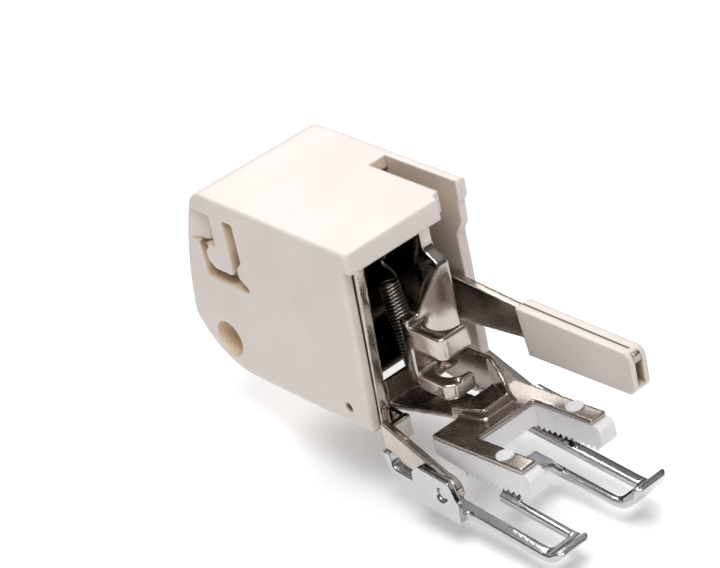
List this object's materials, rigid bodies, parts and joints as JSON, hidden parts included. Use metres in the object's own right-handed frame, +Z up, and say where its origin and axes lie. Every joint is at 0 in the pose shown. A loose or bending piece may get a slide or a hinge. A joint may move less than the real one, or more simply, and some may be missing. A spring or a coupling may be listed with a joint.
{
  "type": "sewing machine presser foot",
  "caption": "Open-toe walking presser foot for a low-shank sewing machine: moulded housing, shank clamp, lifting lever, chromed sole and toothed upper feeder.",
  "frame": {"origin": "where the axis of the machine's presser bar meets the axis of its clamp screw", "axes": "+Z up along the presser bar, -Y towards the sewer (toes and lever), +X to the right, the open side of the clamp"},
  "size_m": [0.0283, 0.085, 0.0446],
  "materials": {
    "cream_abs": "fine moulded grain",
    "nickel_steel": "nickel plated, stamped",
    "chromed_steel": "bright chrome",
    "spring_steel": "dark drawn wire",
    "white_nylon": "translucent, moulded"
  },
  "bodies": {
    "frame": {"housing": "cream_abs", "left_frame_plate": "nickel_steel", "shank_bracket": "nickel_steel", "lever_shaft": "nickel_steel", "carrier_shaft": "nickel_steel", "carrier_clip": "nickel_steel", "swing_shaft": "nickel_steel", "swing_clip": "nickel_steel", "spring_post": "nickel_steel", "rear_spacer": "nickel_steel", "return_spring": "spring_steel"},
    "lever": {"lever_arm": "nickel_steel", "lever_bush": "nickel_steel", "lever_sleeve": "cream_abs", "crank_pin": "nickel_steel"},
    "carrier": {"sole_carrier": "chromed_steel", "sole_rivet_left": "chromed_steel", "sole_rivet_right": "chromed_steel"},
    "feeder": {"feed_bracket": "nickel_steel", "feed_hub": "nickel_steel", "feed_pad": "white_nylon", "feed_spring_pin": "nickel_steel"},
    "sole": {"sole": "chromed_steel"}
  },
  "joints": [
    {"name": "lever_lift", "type": "hinge", "parent": "frame", "child": "lever", "pos_m": [0.011, 0.027, 0.0007], "axis": [-1, 0, 0], "range_deg": [0, 30]},
    {"name": "carrier_lift", "type": "hinge", "parent": "frame", "child": "carrier", "pos_m": [0, 0.034, -0.0058], "axis": [-1, 0, 0], "range_deg": [0, 12.45]},
    {"name": "sole_rock", "type": "hinge", "parent": "carrier", "child": "sole", "pos_m": [0, -0.008, -0.0162], "axis": [1, 0, 0], "range_deg": [-6, 10]},
    {"name": "feed_swing", "type": "hinge", "parent": "frame", "child": "feeder", "pos_m": [0.0065, 0.02, 0.015], "axis": [1, 0, 0], "range_deg": [0, 8], "stiffness_Nm_per_rad": 0.02, "springref_deg": -11.46, "deforming": ["return_spring"]}
  ],
  "couplings": [
    {"joint": "carrier_lift", "follows": "lever_lift", "ratio": 0.4146}
  ]
}
